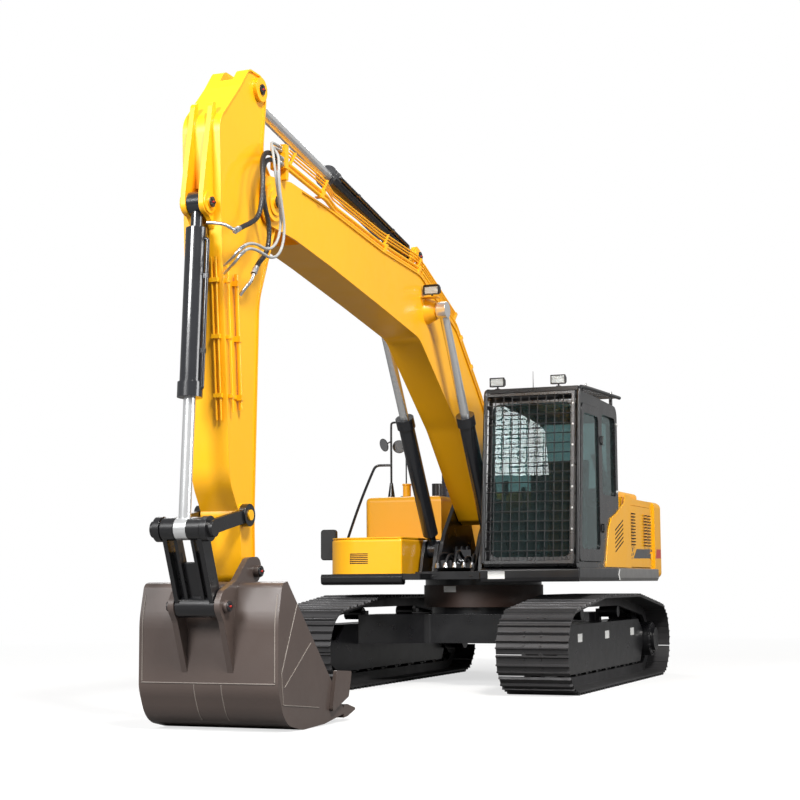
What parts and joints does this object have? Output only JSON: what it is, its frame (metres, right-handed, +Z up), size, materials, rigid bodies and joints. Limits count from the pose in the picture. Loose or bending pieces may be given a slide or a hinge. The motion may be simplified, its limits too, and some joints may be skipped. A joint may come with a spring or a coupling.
{
  "type": "crawler excavator",
  "caption": "Tracked hydraulic excavator: slewing upper with guarded cab, engine house and counterweight, two-piece digging front with cylinders, linkage and bucket.",
  "frame": {"origin": "on the slew axis at ground level", "axes": "+X to the machine's left hand (cab side), -Y forward to the bucket, +Z up along the slew axis"},
  "size_m": [3.08, 9.4998, 4.97],
  "materials": {
    "chassis_black": "gloss",
    "track_steel": "satin",
    "ring_brown": "satin",
    "body_yellow": "gloss",
    "engine_grey": "satin",
    "cab_black": "satin",
    "cab_glass": "clear",
    "seat_fabric": "woven",
    "cab_plastic": "grained",
    "lamp_body": "clear lens",
    "cylinder_black": "gloss",
    "rod_chrome": "polished",
    "bucket_brown": "satin"
  },
  "bodies": {
    "undercarriage": {"centre_frame": "chassis_black", "track_frames": "chassis_black", "track_left": "track_steel", "track_right": "track_steel", "idlers": "chassis_black", "sprockets": "chassis_black", "track_rollers": "chassis_black", "carrier_rollers": "chassis_black", "slew_ring": "ring_brown"},
    "upper": {"upper_frame": "chassis_black", "counterweight": "body_yellow", "engine_block": "engine_grey", "fuel_tank": "body_yellow", "hydraulic_tank": "body_yellow", "tool_box": "body_yellow", "body_panels": "body_yellow", "cab_shell": "cab_black", "cab_glass": "cab_glass", "cab_seat": "seat_fabric", "cab_console": "cab_plastic", "front_guard": "cab_black", "roof_guard": "cab_black", "handrails": "cab_black", "mirrors": "cab_plastic", "work_lamps": "lamp_body", "exhaust": "chassis_black", "slew_motor": "chassis_black"},
    "cab_door": {"cab_door": "cab_black", "cab_door_glass": "cab_glass"},
    "engine_hood": {"engine_hood": "body_yellow"},
    "left_door": {"left_door": "body_yellow"},
    "right_door": {"right_door": "body_yellow"},
    "boom": {"boom": "body_yellow", "boom_pipes": "body_yellow", "boom_lamp": "lamp_body"},
    "boom_cylinder_tubes": {"boom_cylinder_tubes": "cylinder_black"},
    "boom_cylinder_rods": {"boom_cylinder_rods": "rod_chrome"},
    "arm_cylinder_tube": {"arm_cylinder_tube": "cylinder_black"},
    "arm_cylinder_rod": {"arm_cylinder_rod": "rod_chrome"},
    "arm": {"arm": "body_yellow", "arm_pipes": "body_yellow"},
    "bucket_cylinder_tube": {"bucket_cylinder_tube": "cylinder_black"},
    "bucket_cylinder_rod": {"bucket_cylinder_rod": "rod_chrome"},
    "tipping_links": {"tipping_links": "chassis_black"},
    "h_link": {"h_link": "chassis_black"},
    "bucket": {"bucket": "bucket_brown", "bucket_teeth": "bucket_brown", "side_cutters": "bucket_brown"}
  },
  "joints": [
    {"name": "slew", "type": "hinge", "parent": "undercarriage", "child": "upper", "pos_m": [0, 0, 1.03], "axis": [0, 0, 1], "continuous": true},
    {"name": "cab_door", "type": "hinge", "parent": "upper", "child": "cab_door", "pos_m": [1.464, -0.492, 2], "axis": [0, 0, 1], "range_deg": [0, 160]},
    {"name": "engine_hood", "type": "hinge", "parent": "upper", "child": "engine_hood", "pos_m": [0.22, 1.974, 1.983], "axis": [-1, 0, 0], "range_deg": [0, 60]},
    {"name": "left_door", "type": "hinge", "parent": "upper", "child": "left_door", "pos_m": [1.42, 1.884, 1.5], "axis": [0, 0, 1], "range_deg": [0, 110]},
    {"name": "right_door", "type": "hinge", "parent": "upper", "child": "right_door", "pos_m": [-1.36, 1.884, 1.5], "axis": [0, 0, -1], "range_deg": [0, 110]},
    {"name": "boom", "type": "hinge", "parent": "upper", "child": "boom", "pos_m": [0, -0.15, 1.82], "axis": [-1, 0, 0], "range_deg": [-50, 42]},
    {"name": "boom_cylinder_swing", "type": "hinge", "parent": "upper", "child": "boom_cylinder_tubes", "pos_m": [0, -0.66, 1.4], "axis": [-1, 0, 0], "range_deg": [-49.85, 41.95]},
    {"name": "boom_cylinder_stroke", "type": "slide", "parent": "boom_cylinder_tubes", "child": "boom_cylinder_rods", "axis": [0, -0.5393, 0.8421], "range_m": [-0.5335, 0.4484]},
    {"name": "arm", "type": "hinge", "parent": "boom", "child": "arm", "pos_m": [0, -5.62, 4], "axis": [1, 0, 0], "range_deg": [-75, 44]},
    {"name": "arm_cylinder_swing", "type": "hinge", "parent": "boom", "child": "arm_cylinder_tube", "pos_m": [0, -2.2, 4.21], "axis": [1, 0, 0], "range_deg": [-2.3, 1.56]},
    {"name": "arm_cylinder_stroke", "type": "slide", "parent": "arm_cylinder_tube", "child": "arm_cylinder_rod", "axis": [0, -0.9846, 0.175], "range_m": [-1.0047, 0.5902]},
    {"name": "bucket", "type": "hinge", "parent": "arm", "child": "bucket", "pos_m": [0, -5.95, 1.15], "axis": [1, 0, 0], "range_deg": [-65, 58]},
    {"name": "bucket_cylinder_swing", "type": "hinge", "parent": "arm", "child": "bucket_cylinder_tube", "pos_m": [0, -6.5, 3.82], "axis": [1, 0, 0], "range_deg": [-3.56, 3.23]},
    {"name": "bucket_cylinder_stroke", "type": "slide", "parent": "bucket_cylinder_tube", "child": "bucket_cylinder_rod", "axis": [0, -0.0672, -0.9977], "range_m": [-0.5658, 0.5051]},
    {"name": "tipping_link", "type": "hinge", "parent": "arm", "child": "tipping_links", "pos_m": [0, -6.05, 1.56], "axis": [1, 0, 0], "range_deg": [-58.87, 52.58]},
    {"name": "bucket_link", "type": "hinge", "parent": "tipping_links", "child": "h_link", "pos_m": [0, -6.66, 1.445], "axis": [1, 0, 0], "range_deg": [-37.33, 41.77]}
  ],
  "couplings": [
    {"joint": "boom_cylinder_swing", "follows": "boom", "ratio": 0.987},
    {"joint": "boom_cylinder_stroke", "follows": "boom", "m_per_rad": 0.609},
    {"joint": "arm_cylinder_swing", "follows": "arm", "ratio": 0.024},
    {"joint": "arm_cylinder_stroke", "follows": "arm", "m_per_rad": 0.766},
    {"joint": "bucket_cylinder_swing", "follows": "bucket", "ratio": 0.047},
    {"joint": "bucket_cylinder_stroke", "follows": "bucket", "m_per_rad": 0.497},
    {"joint": "tipping_link", "follows": "bucket", "ratio": 0.898},
    {"joint": "bucket_link", "follows": "bucket", "ratio": -0.635}
  ]
}
